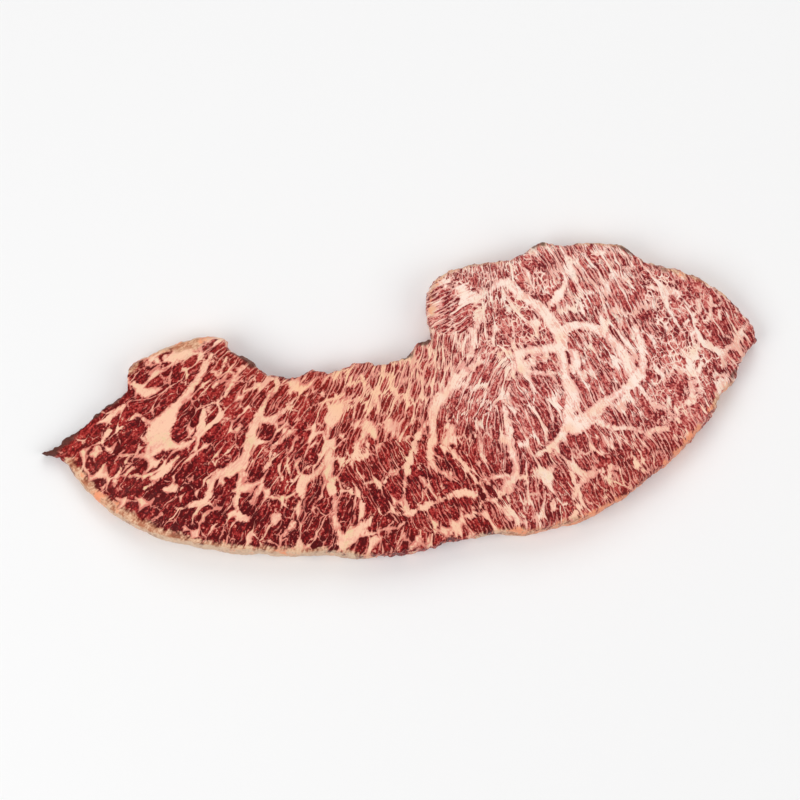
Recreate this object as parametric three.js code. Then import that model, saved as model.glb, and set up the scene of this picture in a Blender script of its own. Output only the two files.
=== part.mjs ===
// A raw sirloin steak: one thin slice of richly marbled beef, lying on a cut face.
// It is a crescent with a narrow tail on the left, a band in the middle and the broad eye of the
// muscle on the right. The muscle fibres run across it, from the convex fat edge at the front to the
// concave edge at the back where the bone was, and they spread like a fan.
// Millimetres, +Z up, +X towards the eye, origin under the middle of the slice on its resting plane.
import * as THREE from "three";
import { mergeVertices } from "three/addons/utils/BufferGeometryUtils.js";

// Driving dimensions.
const SLICE_THICKNESS = 14; // through the band and the eye
const TAIL_THICKNESS = 5.5; // at the sharp end on the left
const TAIL_TAPER = 62; // how far from its end the tail thins out
const NOSE_THICKNESS = 9; // at the blunt end on the right
const NOSE_TAPER = 26;
const TIP_HEIGHT = 0.45; // the two points lie at this share of the thickness there

// The edge of the slice, as shares of its thickness and millimetres set in from the widest line.
const FOOT_INSET = 2.6; // where the slice meets the board
const SHOULDER_INSET = 1.9; // where the cut face begins to round over
const WALL = [
  { height: 0.04, inset: 1.6 },
  { height: 0.22, inset: 0.25 },
  { height: 0.5, inset: 0 },
  { height: 0.78, inset: 0.25 },
  { height: 0.94, inset: 0.9 },
];
const MOST_INSET = 0.22; // of a rib's length, near the two ends

// The cut face.
const CROWN = 0.6; // the middle of the slice stands this much above its rim
const CROWN_WIDTH = 22; // how far in from the edge the cut face keeps rising
const RIM_POINTS = 160; // places along each edge that this distance is taken from
const SWELL = 0.45; // slow waves left by the knife
const BULGE = 0.32; // bundles of muscle between the seams, long along the fibres
const BULGE_LENGTH = 21;
const BULGE_WIDTH = 8.5;
const CREASE_DEPTH = 1.3; // the seam between the band and the eye, open at the notch
const CREASE_WIDTH = 3.4;
const CREASE_FROM = [15, 25.5];
const CREASE_TO = [36, 8];

// The trimmed edge is ragged: nicks of about this depth, and their spacing along the edge.
const RAG_DEPTH = 0.42;
const RAG_SPACING = 9;
const WALL_LEAN = 0.8; // how far the edge wanders in and out between its top and its foot
const RAG_SEED = 41;

// Facets along the slice, across its two faces and up its two edges.
const STATIONS = 136;
const TOP_STEPS = 20;
const UNDER_STEPS = 10;

// Ribs of the crescent, one after another from the tail to the nose. Each joins a point on the front
// edge to the point on the back edge that the same fibres reach: [front x, front y, back x, back y].
const TAIL_RIBS = [
  [-135.5, -21.5, -135, -18.8],
  [-130.5, -24, -129.6, -14],
  [-126.6, -29.4, -121.8, -9],
  [-121.8, -35, -117, -4],
  [-115.6, -41, -109.8, 0.6],
  [-109.6, -45.4, -104.4, 6.2],
  [-104.3, -48.7, -106.2, 12],
  [-96.6, -52.6, -100.2, 16.6],
  [-89, -55.4, -88, 21.4],
  [-81, -56.8, -77, 24.7],
  [-74, -58.4, -68.4, 23.8],
  [-68, -59.3, -66.6, 19.8],
];
const BAND_RIBS = [
  [-60, -60.3, -58, 15.2],
  [-53, -60.2, -52.5, 9.9],
  [-44, -61.2, -43, 8.3],
  [-36, -61, -33.5, 11.4],
  [-29, -60.5, -27, 10.1],
  [-21.5, -61.4, -14, 14.9],
  [-14.5, -62.1, -8.5, 13.1],
  [-6, -60.8, -2.5, 15.2],
  [2, -60.4, 3.5, 17],
  [10, -58.6, 6.6, 21.6],
  [18, -55.8, 13.4, 24.4],
];
const EYE_RIBS = [
  [27, -54.4, 11.4, 30],
  [38, -52.4, 10.3, 38],
  [49, -53, 12.8, 46.6],
  [59, -50.2, 21, 51.6],
  [69, -48.1, 33, 54.3],
  [78, -43.6, 45.5, 56.1],
  [86.4, -38.8, 54.6, 62.2],
  [94, -32.5, 63, 61],
  [101.2, -27.2, 74, 62.4],
  [108.8, -20.6, 87.4, 61],
  [116, -12.4, 95, 55.2],
  [121.6, -5.4, 107.8, 51.8],
  [124.4, 0.8, 118, 47.5],
  [130.2, 7.2, 127.3, 41.8],
  [132, 13, 133, 36.2],
  [135.4, 18.8, 137.2, 31],
];
const TAIL_TIP = [-140, -20.5, -140, -20.5];
const NOSE_TIP = [140, 24, 140, 24];

// A repeatable draw of numbers from 0 to 1.
function seededDraw(seed) {
  let state = seed >>> 0;
  return () => {
    state = (state * 1664525 + 1013904223) >>> 0;
    return state / 4294967296;
  };
}

// A ragged line: waves at and below one spacing, with drawn phases, from -1 to 1.
function raggedLine(spacing, draw) {
  const waves = [1, 0.61, 1.7].map((share) => ({
    rate: (2 * Math.PI) / (spacing * share),
    phase: 2 * Math.PI * draw(),
  }));
  return (along) =>
    waves.reduce((sum, wave) => sum + Math.sin(along * wave.rate + wave.phase), 0) / waves.length;
}

const smooth = (x) => {
  const t = Math.min(1, Math.max(0, x));
  return t * t * (3 - 2 * t);
};

const ribs = [TAIL_TIP, ...TAIL_RIBS, ...BAND_RIBS, ...EYE_RIBS, NOSE_TIP];
const edgeCurve = (column) =>
  new THREE.CatmullRomCurve3(ribs.map((rib) => new THREE.Vector3(rib[column], rib[column + 1], 0)));
const frontEdge = edgeCurve(0);
const backEdge = edgeCurve(2);

const draw = seededDraw(RAG_SEED);
const frontRag = raggedLine(RAG_SPACING, draw);
const backRag = raggedLine(RAG_SPACING, draw);
const frontLean = raggedLine(4 * RAG_SPACING, draw);
const backLean = raggedLine(4 * RAG_SPACING, draw);

// The thickness at a place along the slice, thin at the tail and a little thinner at the nose.
function thicknessAt(x) {
  const tail = smooth((x - TAIL_TIP[0]) / TAIL_TAPER);
  const nose = smooth((NOSE_TIP[0] - x) / NOSE_TAPER);
  const fromTail = TAIL_THICKNESS + (SLICE_THICKNESS - TAIL_THICKNESS) * tail;
  return fromTail - (SLICE_THICKNESS - NOSE_THICKNESS) * (1 - nose);
}

// How deep the open seam between the band and the eye is at a point of the cut face.
function creaseAt(x, y) {
  const [x0, y0] = CREASE_FROM;
  const [dx, dy] = [CREASE_TO[0] - x0, CREASE_TO[1] - y0];
  const share = Math.min(1, Math.max(0, ((x - x0) * dx + (y - y0) * dy) / (dx * dx + dy * dy)));
  const away = Math.hypot(x - x0 - share * dx, y - y0 - share * dy);
  return CREASE_DEPTH * (1 - share) * Math.exp(-((away / CREASE_WIDTH) ** 2));
}

// How far a point of the cut face is from the nearest edge.
const rim = [frontEdge, backEdge].flatMap((edge) => edge.getPoints(RIM_POINTS));
function fromRim(x, y) {
  return rim.reduce((least, point) => Math.min(least, Math.hypot(x - point.x, y - point.y)), Infinity);
}

// The height of the cut face over its rim: a low crown, slow waves, and bulging bundles of muscle.
function reliefAt(x, y) {
  const crown = smooth(fromRim(x, y) / CROWN_WIDTH);
  const waves =
    Math.sin(x / 19 + 0.7) * Math.cos(y / 23 - 0.4) + 0.6 * Math.sin((x + 1.6 * y) / 13 + 2.1);
  const bundles =
    Math.sin((2 * Math.PI * y) / BULGE_LENGTH + 5 * Math.sin(x / 15)) *
    Math.sin((2 * Math.PI * x) / BULGE_WIDTH + 1.5 * Math.sin(y / 9));
  return crown * (CROWN + SWELL * waves + BULGE * bundles) - creaseAt(x, y);
}

// The outline of a slice's section, walked once round from the front edge's widest line: up, over the
// cut face, down the back edge and home along the underside. Each step says where on the rib it is.
function sectionSteps() {
  const middle = WALL.findIndex((level) => level.inset === 0);
  const upper = WALL.slice(middle + 1);
  const lower = WALL.slice(0, middle);
  const face = (steps, height, inset) =>
    Array.from({ length: steps }, (_, k) => ({ height, inset, share: k / (steps - 1) }));
  const wall = (levels, share) => levels.map((level) => ({ ...level, share }));
  const backwards = (steps) => [...steps].reverse();
  return [
    ...wall([WALL[middle], ...upper], 0),
    ...face(TOP_STEPS, 1, SHOULDER_INSET),
    ...wall(backwards([WALL[middle], ...upper]), 1),
    ...wall(backwards(lower), 1),
    ...backwards(face(UNDER_STEPS, 0, FOOT_INSET)),
    ...wall(lower, 0),
  ];
}

// One point of the slice's skin, for a share of its length and a step of its section.
function skinPoint(along, step) {
  const front = frontEdge.getPoint(along);
  const back = backEdge.getPoint(along);
  const across = back.clone().sub(front);
  const length = across.length();
  if (length === 0) {
    return front.setZ(TIP_HEIGHT * thicknessAt(front.x));
  }
  across.normalize();
  const soft = smooth(length / 30);
  const leaning = WALL_LEAN * (step.height - 0.5) * soft;
  const frontIn = RAG_DEPTH * soft * frontRag(front.x) + leaning * frontLean(front.x);
  const backIn = RAG_DEPTH * soft * backRag(back.x + back.y) + leaning * backLean(back.x + back.y);
  const inset = Math.min(step.inset, MOST_INSET * length);
  const from = inset + frontIn;
  const to = length - inset - backIn;
  const place = front.clone().addScaledVector(across, from + (to - from) * step.share);
  return place.setZ(step.height * (thicknessAt(place.x) + reliefAt(place.x, place.y)));
}

// The slice: a sphere's net of faces, with a pole at each end, drawn out along the ribs.
function steakGeometry() {
  const steps = sectionSteps();
  const geometry = new THREE.SphereGeometry(1, steps.length, STATIONS);
  const { position, uv } = geometry.attributes;
  for (let i = 0; i < position.count; i += 1) {
    const along = 1 - uv.getY(i);
    const row = Math.round(along * STATIONS);
    const atPole = row === 0 || row === STATIONS;
    const around = atPole ? 0 : Math.round(uv.getX(i) * steps.length) % steps.length;
    const { x, y, z } = skinPoint(row / STATIONS, steps[around]);
    position.setXYZ(i, x, y, z);
  }
  geometry.deleteAttribute("normal");
  geometry.deleteAttribute("uv");
  const merged = mergeVertices(geometry);
  merged.computeBoundingBox();
  const middle = merged.boundingBox.getCenter(new THREE.Vector3());
  merged.translate(-middle.x, -middle.y, 0);
  merged.computeVertexNormals();
  return merged;
}

function steakMesh() {
  const meat = new THREE.MeshStandardMaterial({ color: 0xb4605a, roughness: 0.45, metalness: 0 });
  const mesh = new THREE.Mesh(steakGeometry(), meat);
  mesh.name = "steak";
  return mesh;
}

const sirloin = new THREE.Group();
sirloin.add(steakMesh());

export default sirloin;
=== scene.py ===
"""A raw sirloin steak: the looks of one thin, richly marbled slice of beef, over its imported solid.

The slice lies on a cut face. Its broad seams of fat run through the whole thickness, so they are placed
once, as they lie on the cut face, and the edge and the underside show them too. Places on the slice are
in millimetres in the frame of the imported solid. Blender's own lengths are in metres.
"""

from __future__ import annotations

import logging
import math
from dataclasses import dataclass
from enum import Enum
from typing import Union

import bmesh
import bpy
import numpy as np
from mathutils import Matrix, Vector, noise


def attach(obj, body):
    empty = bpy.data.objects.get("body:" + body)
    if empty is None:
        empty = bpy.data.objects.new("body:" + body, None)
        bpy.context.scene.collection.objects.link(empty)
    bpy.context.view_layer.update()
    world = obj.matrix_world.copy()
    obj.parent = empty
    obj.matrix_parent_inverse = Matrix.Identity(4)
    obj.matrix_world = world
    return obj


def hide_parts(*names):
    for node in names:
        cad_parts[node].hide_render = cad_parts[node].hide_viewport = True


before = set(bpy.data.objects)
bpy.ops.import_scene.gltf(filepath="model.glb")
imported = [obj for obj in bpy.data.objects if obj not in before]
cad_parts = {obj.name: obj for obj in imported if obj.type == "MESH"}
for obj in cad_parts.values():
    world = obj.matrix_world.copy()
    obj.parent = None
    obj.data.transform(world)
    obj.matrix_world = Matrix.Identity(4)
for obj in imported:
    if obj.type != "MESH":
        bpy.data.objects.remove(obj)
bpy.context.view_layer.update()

log = logging.getLogger("steak")

MM = 0.001
MAP_UNIT = 100.0  # millimetres to one unit of the map that follows the fibres
TINY = 1e-9  # keeps a division by a length of zero from failing
SEED_WAY = (1.0, 2.3, -1.7)  # the way that a seed moves a pattern of noise

Span = tuple[float, float]
Triple = tuple[float, float, float]
Colour = tuple[float, float, float, float]
Socket = bpy.types.NodeSocket
Paint = Union[Colour, Socket]

# A seam of fat, or a scrap of lean lying in fat, drawn along its middle: x, y and its width at each
# point, in millimetres.
Seam = tuple[Triple, ...]


class Mark(str, Enum):
    """What the slice's mesh tells its finish about each place."""

    SEAM = "seam_depth"
    RIND = "rind_depth"
    FAT = "fat"
    WARMTH = "warmth"
    PALLOR = "pallor"
    DRYNESS = "dryness"
    WALL = "wall"
    GRAINY = "grainy"
    GRAIN = "grain"


@dataclass(frozen=True)
class Region:
    """How the flesh looks around one place on the slice.

    Args:
        x: millimetres along the slice.
        y: millimetres across the slice.
        fat: how much of the flesh is fine fat, from 0 to 1.
        warmth: how orange the fat and the lean are, from 0 to 1.
        pallor: how pale and brown the lean is, from 0 to 1, and below 0 where it is darker.
    """

    x: float
    y: float
    fat: float
    warmth: float
    pallor: float


@dataclass(frozen=True)
class GrainPatch:
    """A part of the slice whose fibres lie apart from the fan of the rest.

    Args:
        x: the middle of the patch.
        y: the middle of the patch.
        length: how far the patch reaches from its middle, along its own slant.
        width: how far it reaches across its slant.
        slant: the patch's own turn from +X, in degrees.
        fibres: the direction of its fibres from +X, in degrees.
    """

    x: float
    y: float
    length: float
    width: float
    slant: float
    fibres: float


TAIL_SEAMS = (
    ((-73.3, 17, 1.6), (-76.5, 9.5, 3.2), (-80, 4, 3.3), (-84.3, -1.2, 3.6), (-88, -5.5, 5)),
    ((-88, -5.5, 5), (-92, -11, 8), (-93.5, -16, 10.4), (-94, -19.3, 6.4)),
    ((-91, -18, 7), (-86, -19.5, 3.5), (-82, -18.6, 1.8), (-79, -16.5, 1.4), (-77, -13.5, 2.6)),
    ((-77, -13.5, 2.6), (-76.3, -9, 2.6), (-75.5, -5.3, 1.4)),
    ((-95, -22, 2), (-100, -23, 1), (-105, -22.6, 0.8), (-110, -21.8, 0.8), (-115, -18.5, 1.2)),
    ((-115.5, -17, 1.2), (-114, -14, 3.2), (-112.3, -12.3, 1.8)),
    ((-119.5, -21.5, 2.5), (-117.5, -20, 3.5)),
    ((-113.5, -7.5, 1.6), (-110.5, -5.2, 2.6), (-107.8, -3, 1.5)),
    ((-104.5, -8.6, 1.2), (-101.5, -6.5, 1.5), (-99.5, -8, 1.3), (-97.5, -9.8, 2)),
    ((-103.5, 6, 2.6), (-101, 3, 2.8), (-98, 1.4, 2.6), (-94.5, 3, 1.6), (-92.5, 3.6, 0.8)),
    ((-105, -23.5, 0.9), (-107.5, -27.5, 1), (-110, -31.5, 0.9), (-110.5, -34, 0.7)),
    ((-94.5, -32, 2.2), (-91, -29, 2.4), (-88, -26, 1.6), (-85.5, -23.3, 1.2)),
    ((-90, -36, 3), (-87, -35.5, 3.6)),
    ((-95, -48.3, 1.2), (-91.5, -45.8, 1)),
    ((-98.5, 13.5, 1.6), (-96.5, 12.6, 2)),
    ((-91, 15, 3), (-87, 16.5, 6), (-83, 19, 7), (-80, 21, 4)),
    ((-104.5, -17.5, 0.5), (-102, -16.5, 0.5), (-100.2, -18.5, 0.5), (-101.5, -21.3, 0.5)),
    ((-104.5, -31, 0.6), (-100.5, -30.3, 0.8)),
    ((-98.5, -35.5, 0.8), (-93.5, -32.5, 0.9)),
)
BAND_SEAMS = (
    ((-67.3, 15.5, 1.3), (-68.8, 11, 1.5), (-70.3, 6.5, 1.5), (-72, 3.5, 0.8)),
    ((-60.8, 12.3, 1.6), (-64.3, 7, 1.7), (-66.8, 2, 1.5), (-70.2, -1.8, 1.2), (-74.4, -4.7, 1.6)),
    ((-49, 3.5, 1), (-51, 0, 1.4), (-53.3, -4.5, 2.4), (-55.5, -10, 3.4), (-57.3, -15.5, 4)),
    ((-57.3, -15.5, 3.8), (-58.6, -21, 4.2), (-60.8, -27, 4.8), (-65, -29.2, 4.6), (-69.5, -29.8, 4)),
    ((-69.5, -29.8, 4), (-72.3, -33, 3), (-73, -37.5, 3), (-75, -40.8, 3), (-79.5, -42, 2.4)),
    ((-79.5, -42, 2.4), (-83, -43.6, 1.6), (-86, -43.5, 1.2)),
    ((-54, -9, 3), (-50, -9.5, 2.8), (-46.5, -7.3, 2), (-43.3, -3.6, 1.2), (-40.5, -0.5, 0.8)),
    ((-47.5, 7.5, 1.6), (-47.8, 3, 1.8), (-49.5, 0.5, 1)),
    ((-42.6, 2, 0.9), (-41.2, 5.5, 1.2), (-41.5, 8, 1)),
    ((-60.5, -30, 3.6), (-61.8, -34.5, 2.4), (-63, -39, 1.8), (-63, -43, 2), (-61.5, -46.8, 3.2)),
    ((-61.5, -46.8, 3.2), (-58.8, -47.5, 2)),
    ((-57.2, -41, 1.5), (-55, -37.5, 1.2), (-52.7, -33.8, 0.9)),
    ((-52.5, -29.5, 1.2), (-50, -26, 1.6), (-48.3, -22.5, 1)),
    ((-47.5, -47.8, 3.6), (-46.3, -46.5, 2)),
    ((-41, -49.3, 2.8), (-42.3, -51.5, 1.6), (-44.3, -53.5, 1.2)),
    ((-76, -47.3, 0.5), (-72, -44, 0.5), (-67.5, -41, 0.5)),
    ((-80, -49, 0.5), (-77, -46, 0.4)),
    ((-84.5, -36.5, 0.6), (-79, -31, 0.6)),
    ((-77.5, 19.5, 2), (-76.5, 16, 1.5)),
    ((-63, -13.5, 2), (-61.5, -12, 1.5)),
    ((-18, 1, 1), (-21, -1.5, 1.8), (-24, -5, 5), (-26.3, -9, 5), (-27.5, -12.3, 2.4)),
    ((-27.5, -12.3, 2.4), (-28, -16.5, 1), (-26.8, -20, 2), (-27.3, -25, 4.6), (-27.8, -30, 4.8)),
    ((-27.8, -30, 4.8), (-26.3, -35, 3.2), (-24.8, -38.5, 2.4), (-25.2, -43, 1.9), (-25, -47.5, 1.8)),
    ((-25, -47.5, 2), (-24, -51.5, 1.8), (-22, -55.5, 3.5), (-22, -58.5, 3)),
    ((-25.5, -6, 4), (-28.6, -1.5, 1.2), (-30, 1.5, 1)),
    ((-29.5, -27, 3), (-33, -30.8, 2.6), (-37, -32.5, 4), (-38.3, -36, 3.6), (-37.3, -39, 1.6)),
    ((-37.5, -31.5, 2), (-40, -27, 1.8), (-38.5, -24, 1.2)),
    ((-48.6, -19.5, 1.2), (-45.2, -16.3, 1.4), (-42, -13.2, 0.8)),
    ((-24, -58.5, 4.2), (-19.5, -55.3, 5.4), (-15.3, -52, 4.6), (-12.3, -49, 2.8), (-10.5, -46.6, 1.4)),
    ((-16.5, -54.2, 2.6), (-10.5, -53, 1.8), (-5.5, -51.5, 1.3), (-1, -50.8, 1), (3, -48, 1)),
    ((-22.7, -33.5, 1.2), (-20, -35.8, 1.5), (-17.2, -37.6, 1)),
    ((-12.5, -11, 4.6), (-10.3, -14, 3.6), (-8.8, -16.6, 1.4)),
    ((-14, -14.5, 2), (-16, -18.5, 2.2), (-17.2, -22.5, 2), (-18.6, -24.8, 1)),
    ((-12.4, -18.8, 1), (-12.5, -22, 2), (-14.5, -24.5, 1)),
    ((-4.2, -7.8, 1.6), (-4, -12, 2.8), (-5.5, -15, 1)),
    ((-3.6, -29.5, 1.2), (-5.6, -32.6, 1), (-8, -35.7, 1)),
    ((-22, -26.6, 1), (-24, -23, 0.8)),
    ((-9, -0.5, 1.4), (-8, -4.5, 1.6)),
)
WAIST_SEAMS = (
    ((30.5, 14.8, 1.8), (28.5, 12.5, 2.4), (26, 9.5, 3), (22.8, 9, 4.6), (20, 5, 4.2), (17, 1, 4)),
    ((24.5, 13, 3), (22.8, 9, 5)),
    ((17, 1, 4.2), (14, -2.5, 5), (12.6, -7, 4), (12.2, -12, 2.9), (12.7, -16.5, 3.2)),
    ((12.7, -16.5, 3.2), (11.6, -21, 2.4), (11.6, -24.5, 2.2), (13.2, -27, 2), (15, -28.9, 1.6)),
    ((15, -28.9, 1.6), (17.6, -30, 1.6), (19, -31.8, 1.2)),
    ((27, 26.8, 1.4), (28.9, 25, 2.4), (28.6, 20.5, 2.8), (28, 16.5, 2), (29, 15, 1)),
    ((28.9, 26, 2), (30.6, 29, 2), (32, 33.5, 1.6), (34, 36.3, 1.2)),
    ((12.6, -8, 1.8), (9.3, -12, 2), (6.2, -16.5, 2.4), (4.5, -22, 2.2), (3.2, -26.3, 2.8), (2, -31, 2)),
    ((2, -31, 2), (1.7, -37, 1.9), (2, -42, 1.8), (2.8, -45.3, 2.2)),
    ((2.5, -27, 2), (-1, -28.6, 1.6), (-4, -30.3, 1)),
    ((33, -36.8, 1), (30.7, -37.6, 1.2), (28.2, -38.6, 2), (25, -37.4, 3), (20.5, -38.2, 2.2)),
    ((20.5, -38.2, 2.2), (16.5, -39.7, 2.1), (13, -41.3, 2), (9.5, -42.8, 2), (6, -44.5, 2.1)),
    ((6, -44.5, 2), (3, -45.7, 2.4), (0, -45.6, 1.4), (-3.5, -44.5, 0.8)),
    ((9.5, -44.9, 0.6), (11.2, -47.6, 1.4), (12.3, -49.5, 1), (14, -51.2, 0.6), (18, -54.3, 0.6)),
    ((19, -53.5, 1.5), (20.2, -51.8, 2.4), (19.2, -49.8, 0.8)),
    ((24.8, -46.6, 1), (27.8, -46.4, 1.6), (30.3, -45.8, 1.4), (30.6, -43, 1), (31.5, -40.6, 1.1)),
    ((31.5, -40.6, 1.3), (34, -39.8, 1.8), (36.5, -40.2, 1.8)),
    ((35.2, -40.5, 1.2), (35.4, -43.8, 1.1), (36.6, -46.3, 0.7)),
    ((42.5, 4, 1.2), (41, 0, 1.6), (40.8, -5, 2), (41.5, -9, 2.4), (42.3, -13, 3)),
    ((42.3, -13, 3), (42.4, -17, 2.4), (42.9, -21, 2.2), (44.2, -25, 2.4), (45, -28.5, 2.2)),
    ((45, -28.5, 2.2), (43.8, -31.5, 2.6), (42, -34, 3.4), (40, -36.5, 2.4), (37, -40.3, 1.6)),
    ((42.4, -35.6, 3.4), (41.2, -38.2, 2), (42, -41.3, 1.4), (43.2, -43.4, 0.9)),
    ((36, -35.2, 0.8), (38.2, -39, 1)),
    ((18.5, -19.8, 0.7), (22, -24.2, 0.8), (25, -27, 1), (27.5, -31, 1), (30, -34.3, 1)),
    ((30, -34.3, 1), (32.7, -36.8, 1.4), (34, -39.3, 1)),
    ((31.8, -30.3, 0.6), (34.4, -34.8, 0.7)),
    ((31, -17.8, 1.4), (31, -22, 1), (32.6, -25.4, 0.8)),
    ((27.3, -13.6, 0.8), (30.2, -16.4, 0.8)),
    ((42.3, -47.3, 2.8), (40.5, -45.2, 1), (38, -41.5, 0.8)),
    ((3.5, -59.2, 1.6), (6, -57, 2.4), (7, -54.3, 1.2)),
    ((26.8, -54.2, 1.4), (28.6, -53.4, 1.6)),
    ((20, -27.6, 0.9), (19.4, -31.2, 1)),
    ((36, -31.4, 1), (40, -30.8, 1.4), (43, -31, 1.6)),
    ((7.6, -27, 1.6), (8.6, -28.6, 1.2)),
    ((8.3, -31.5, 1.2), (10, -34.5, 1), (12, -36.5, 0.8)),
    ((17, -11, 1.4), (20.5, -12.5, 2.4), (19, -15, 1.6)),
)
EYE_SEAMS = (
    ((17, 43.3, 1.8), (21, 44, 2.2), (24.8, 43, 3), (25.5, 39.5, 4), (23.8, 37.4, 2.6)),
    ((26, 39.5, 2.4), (30.5, 41, 1.6), (35, 41.8, 1.6), (38, 44.6, 3), (41.5, 45.8, 3.4)),
    ((34.3, 49, 1), (36.3, 46.8, 1.2), (38, 45.2, 1.6)),
    ((41.5, 45.8, 3.4), (44.5, 43, 3.4), (46.8, 39.8, 4), (51, 37.8, 3.6), (55, 35.5, 4)),
    ((55, 35.5, 4), (57.3, 32, 4.6), (59.5, 28.5, 4.6), (62, 24.5, 5.4), (62.6, 20, 4.6)),
    ((62.6, 20, 4.6), (62.9, 15, 3.4), (63.6, 10, 3.2), (65, 5.5, 4), (67, 1.2, 4.6)),
    ((67, 1.2, 4.6), (66.5, -3, 5), (66.5, -7, 7), (67.5, -11, 8)),
    ((58.5, 36.5, 2.5), (61.5, 39.5, 4), (63.8, 43.5, 2.4), (65, 47, 1.2)),
    ((62, 19, 4), (56, 18.5, 3.8), (50, 18.2, 4), (46, 16.5, 4.4), (46.5, 12.5, 3.6)),
    ((46.5, 12.5, 5), (50.5, 9.8, 2), (56, 9, 1.6), (60.8, 9.4, 1.8)),
    ((44.3, 27, 0.8), (43.8, 22.5, 1.2), (44.5, 18, 2)),
    ((44.5, 11, 2.6), (42.5, 7, 1.8)),
    ((62.5, 26, 4.6), (66.5, 27.8, 4), (71, 28.4, 4), (75, 27.3, 4.2), (79, 25.5, 4.4)),
    ((79, 25.5, 3.8), (82.5, 22.3, 3.4), (85.3, 19, 3.4), (87.5, 15.3, 3.8), (89.3, 11.5, 4.8)),
    ((92.5, 9, 5), (88.3, 3.6, 3.4), (84.8, 1.4, 3.2), (80.6, -1.2, 3.6), (77, -4, 4)),
    ((77, -4, 4), (74, -7.2, 4.6), (71, -9.6, 6), (68, -11, 7)),
    ((83.5, 34.3, 1.6), (86.3, 33.8, 2.6), (88.5, 31, 1.2)),
    ((89.5, 30.5, 1.1), (91.8, 27, 1.8), (93, 22, 1.8), (94, 17.5, 2.6), (94, 12.5, 3.4)),
    ((75.5, 35.5, 0.8), (78, 31.5, 0.9), (80.5, 28, 1.2)),
    ((76.5, 57, 1.6), (80, 57.6, 1.4)),
    ((70.3, 37, 1.4), (71, 33.5, 1.6), (72, 31, 1)),
    ((67.5, 17.5, 3), (68.3, 13.5, 4.4), (67.5, 10, 2.4)),
    ((63, -13.5, 3.4), (60.3, -17.6, 2.7), (58, -20, 2.6), (55.3, -21.6, 2.4), (53.3, -22.6, 2.8)),
    ((60, -19.5, 2.2), (61.2, -22.3, 1.6), (63.8, -25.2, 2), (66.2, -27.3, 3.6), (69.3, -29.3, 3.4)),
    ((69.3, -29.3, 3.4), (72, -30.8, 3.8), (75.3, -30, 2.6), (78, -29, 1.8)),
    ((81.3, -27.6, 1.4), (84.3, -28.3, 1.4), (86, -30, 0.8)),
    ((71.3, -31.5, 3), (69.4, -33.8, 2), (68.2, -36.2, 2.4), (66.8, -38.3, 1.8), (66, -40, 1)),
    ((73, -9, 3), (76, -10, 2.4), (80, -11.2, 1.9), (83.5, -12.4, 1.8), (87, -12.3, 1.7)),
    ((87, -12.3, 1.7), (90, -12.7, 1.8), (93, -13.8, 1.6), (96, -14.6, 1.3)),
    ((96, -14.6, 1.8), (97.8, -13, 2), (100.4, -13, 1.8), (102.8, -12.6, 1.2)),
    ((93, 3.5, 1.8), (95.8, -0.5, 1.8), (98.5, -3.2, 2.4), (102, -4.6, 2.2), (104.8, -6.4, 1.4)),
    ((104.8, -6.4, 1.4), (106.2, -8.3, 1.2), (108.3, -9.7, 0.9)),
    ((106.6, -5.2, 1.8), (107.5, -7, 1)),
    ((101.2, -7.6, 1.4), (102.2, -9.2, 1)),
    ((91, -25.3, 0.8), (92.4, -27, 1.5), (93.6, -24.6, 0.8)),
    ((92.4, -27.2, 1), (93.6, -29.8, 0.7)),
    ((58.6, -44, 2.4), (58.8, -41.6, 2.8), (59.6, -39, 1)),
    ((57, -28.4, 1.4), (58, -25.6, 0.8)),
    ((50.8, -5.8, 0.7), (53.6, -8.8, 1), (54.8, -6.3, 0.8)),
    ((66.5, -47.2, 2.4), (67.8, -45, 1.4)),
)
NOSE_SEAMS = (
    ((95, 44, 1.4), (98.8, 43.2, 2), (101.8, 42, 1.6)),
    ((107, 42, 2), (109, 41, 2)),
    ((115.8, 38, 2), (116.4, 35.5, 2.6), (117, 33.3, 1.6)),
    ((121.4, 40.3, 1), (121.2, 37.6, 1.3), (122.5, 36.4, 1.2), (124.6, 36.4, 1.2), (125.6, 38.4, 1)),
    ((125.6, 38.4, 1), (124.2, 40.8, 0.9)),
    ((125, 34.6, 1.2), (125.2, 31.2, 1.1)),
    ((121.3, 34.5, 0.9), (120.6, 32.4, 1.2), (120, 30.4, 1)),
    ((115.3, 30, 1), (113, 30.6, 1), (110.5, 28.6, 1.2)),
    ((112, 23.5, 1), (114, 25, 1)),
    ((116, 23.2, 2.6), (118.4, 20.8, 3.8), (121, 19, 2.6), (123.6, 17.8, 3), (126, 18.2, 2.8)),
    ((126, 18.2, 2.8), (128.2, 20, 1.8), (130.6, 21, 1.6), (131.8, 19.6, 1.5), (134.2, 17.6, 1.6)),
    ((131.4, 21, 0.9), (132.3, 23.4, 0.7)),
    ((125.2, 15.5, 1.2), (125.1, 11.5, 0.9), (126.5, 8.8, 1.5)),
    ((109.5, 17.5, 2.6), (111.3, 16.3, 2.8)),
    ((116.8, 12.6, 2.2), (115.7, 9.3, 1.2), (114.8, 6.3, 1.2), (112.9, 5.3, 1.8), (113, 1.6, 1.5)),
    ((113, 1.6, 1.5), (113.2, -1.8, 2.6), (111, -2.6, 1.8)),
    ((115.9, 2.9, 1), (117.6, 1.2, 1)),
)
FAT_SEAMS = (TAIL_SEAMS, BAND_SEAMS, WAIST_SEAMS, EYE_SEAMS, NOSE_SEAMS)
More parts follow.
